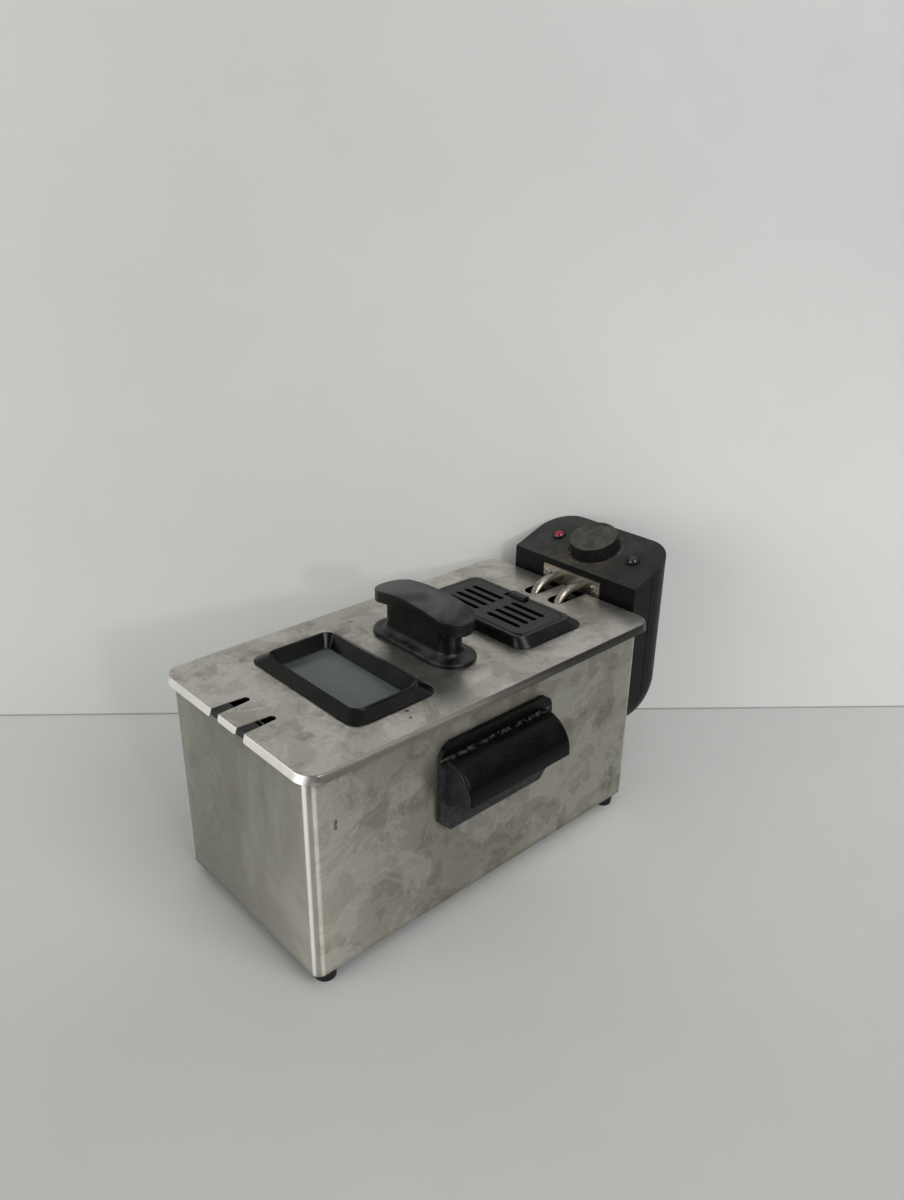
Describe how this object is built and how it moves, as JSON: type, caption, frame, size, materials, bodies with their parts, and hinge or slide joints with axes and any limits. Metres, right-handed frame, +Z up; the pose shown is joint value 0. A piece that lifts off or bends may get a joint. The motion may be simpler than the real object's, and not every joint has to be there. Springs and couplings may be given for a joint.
{
  "type": "deep fryer",
  "caption": "Household deep fryer with a long steel casing, a lid with window and handle, and a lift-off black control unit that carries the heating element.",
  "frame": {"origin": "middle of the overall box, on the floor under the feet", "axes": "+Z up, +Y along the length towards the control unit, +X to the right seen from the front"},
  "size_m": [0.239, 0.424, 0.2337],
  "materials": {
    "steel_sheet": "satin brushed",
    "enamel": "vitreous enamel",
    "black_plastic": "fine texture",
    "gloss_black": "gloss",
    "rubber": "matt",
    "screw_steel": "bright plated",
    "element_steel": "heat tarnished",
    "plated_wire": "bright plated",
    "window_glass": "clear",
    "red_lens": "translucent",
    "clear_lens": "translucent",
    "filter_felt": "felt",
    "brass_parts": "plain"
  },
  "bodies": {
    "casing": {"outer_casing": "steel_sheet", "base_plate": "steel_sheet", "foot_front_left": "rubber", "foot_front_right": "rubber", "foot_rear_left": "rubber", "foot_rear_right": "rubber", "foot_screws": "screw_steel", "side_handle_right": "black_plastic", "side_handle_left": "black_plastic", "side_handle_screws": "screw_steel", "guide_rail_left": "steel_sheet", "guide_rail_right": "steel_sheet", "guide_rail_rivets": "screw_steel"},
    "pan": {"oil_pan": "enamel"},
    "control_unit": {"control_front_shell": "black_plastic", "control_rear_cover": "black_plastic", "control_panel": "black_plastic", "cover_screws": "screw_steel", "element_plate": "element_steel", "element_plate_screws": "screw_steel", "heating_element": "element_steel", "element_support": "element_steel", "sensor_bulb": "element_steel", "thermostat_body": "black_plastic", "thermal_cutout": "black_plastic", "terminal_block": "black_plastic", "interlock_switch": "black_plastic", "lamp_bezels": "black_plastic", "red_lamp_lens": "red_lens", "clear_lamp_lens": "clear_lens", "lamp_bodies": "black_plastic", "cord_gland": "black_plastic"},
    "knob": {"thermostat_knob": "black_plastic", "thermostat_spindle": "brass_parts"},
    "reset": {"reset_button": "red_lens"},
    "basket": {"basket_mesh": "plated_wire", "basket_rim_wire": "plated_wire", "basket_handle_bracket": "plated_wire", "basket_hook": "plated_wire"},
    "basket_handle": {"basket_handle_wires": "plated_wire", "basket_handle_grip": "black_plastic"},
    "lid": {"lid_shell": "steel_sheet", "window_frame": "gloss_black", "window_gasket": "rubber", "window_glass": "window_glass", "window_retainer": "black_plastic", "window_screws": "screw_steel", "lid_handle": "black_plastic", "lid_handle_screws": "screw_steel", "filter_housing": "black_plastic", "filter_tray": "steel_sheet", "grease_filter": "filter_felt"},
    "vent_cover": {"filter_cover": "black_plastic"}
  },
  "joints": [
    {"name": "pan_lift", "type": "slide", "parent": "casing", "child": "pan", "axis": [0, 0, 1], "range_m": [0, 0.16]},
    {"name": "control_unit_lift", "type": "slide", "parent": "pan", "child": "control_unit", "axis": [0, 0, 1], "range_m": [0, 0.14]},
    {"name": "basket_lift", "type": "slide", "parent": "control_unit", "child": "basket", "axis": [0, 0, 1], "range_m": [0, 0.13]},
    {"name": "basket_handle_lift", "type": "slide", "parent": "basket", "child": "basket_handle", "axis": [0, 0, 1], "range_m": [0, 0.13]},
    {"name": "lid_lift", "type": "slide", "parent": "basket_handle", "child": "lid", "axis": [0, 0, 1], "range_m": [0, 0.13]},
    {"name": "knob_turn", "type": "hinge", "parent": "control_unit", "child": "knob", "pos_m": [0, 0.181, 0.2143], "axis": [0, -0.3344, 0.9424], "range_deg": [-270, 0]},
    {"name": "reset_press", "type": "slide", "parent": "control_unit", "child": "reset", "axis": [0, 0, 1], "range_m": [0, 0.0012], "stiffness_N_per_m": 300},
    {"name": "vent_cover_swing", "type": "hinge", "parent": "lid", "child": "vent_cover", "pos_m": [0, 0.0253, 0.1925], "axis": [1, 0, 0], "range_deg": [0, 100]}
  ]
}
